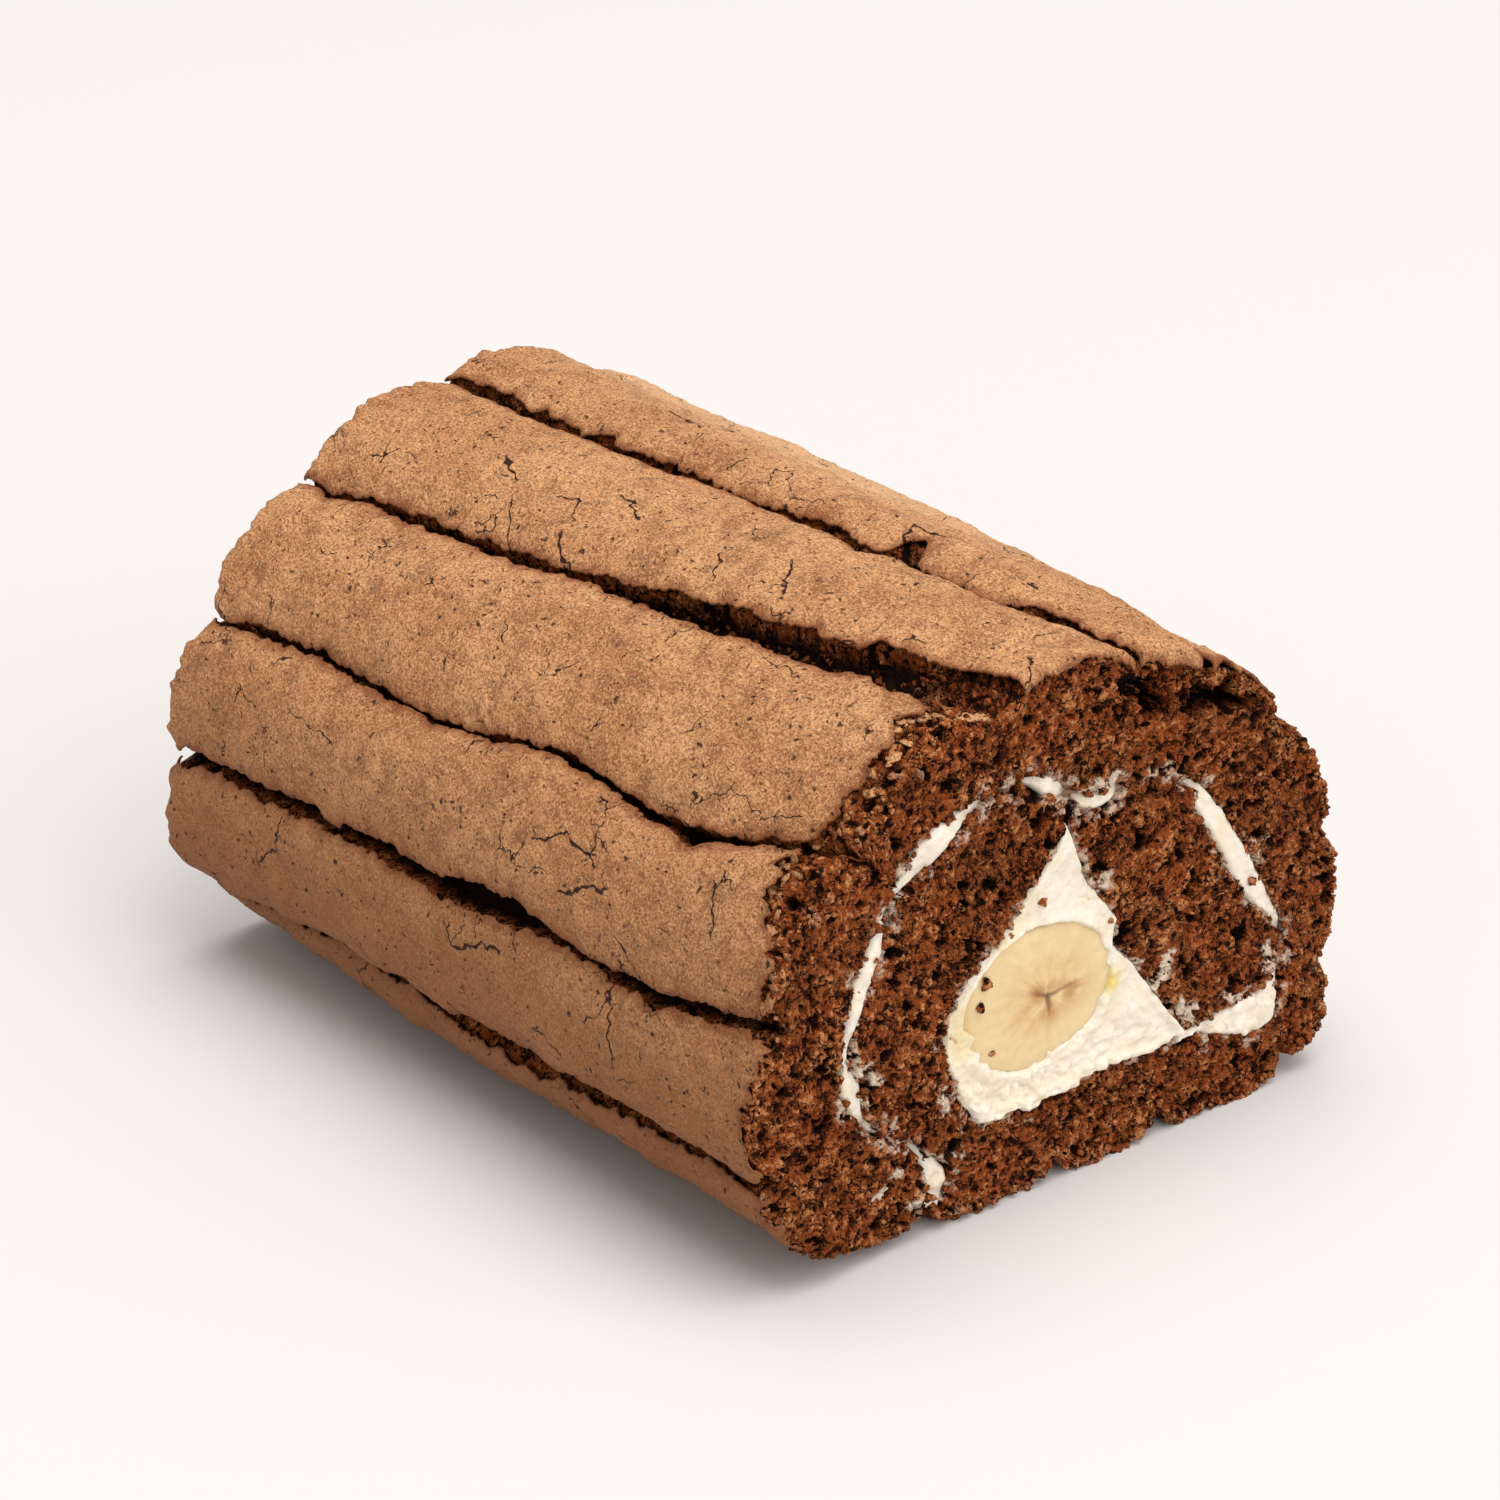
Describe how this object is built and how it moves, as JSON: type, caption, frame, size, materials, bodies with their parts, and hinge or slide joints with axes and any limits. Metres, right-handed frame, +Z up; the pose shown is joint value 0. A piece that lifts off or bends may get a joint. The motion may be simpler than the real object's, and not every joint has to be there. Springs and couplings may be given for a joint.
{
  "type": "roll cake",
  "caption": "Chocolate roll cake of piped ladyfinger-like sponge, rolled up with cream round a whole banana and cut square at both ends.",
  "frame": {"origin": "middle of the flat underside that the cake rests on", "axes": "+X along the roll, towards the end with the lower crown; +Y across it, away from the tucked-in tail; +Z up"},
  "size_m": [0.15, 0.1268, 0.0916],
  "materials": {
    "sponge": "moist open chocolate crumb",
    "crust": "dry, thin, papery tan skin",
    "cream": "soft whipped cream",
    "banana": "moist fruit flesh"
  },
  "bodies": {
    "root": {"sponge_sheet": "sponge", "cream_filling": "cream", "banana": "banana"}
  },
  "joints": []
}
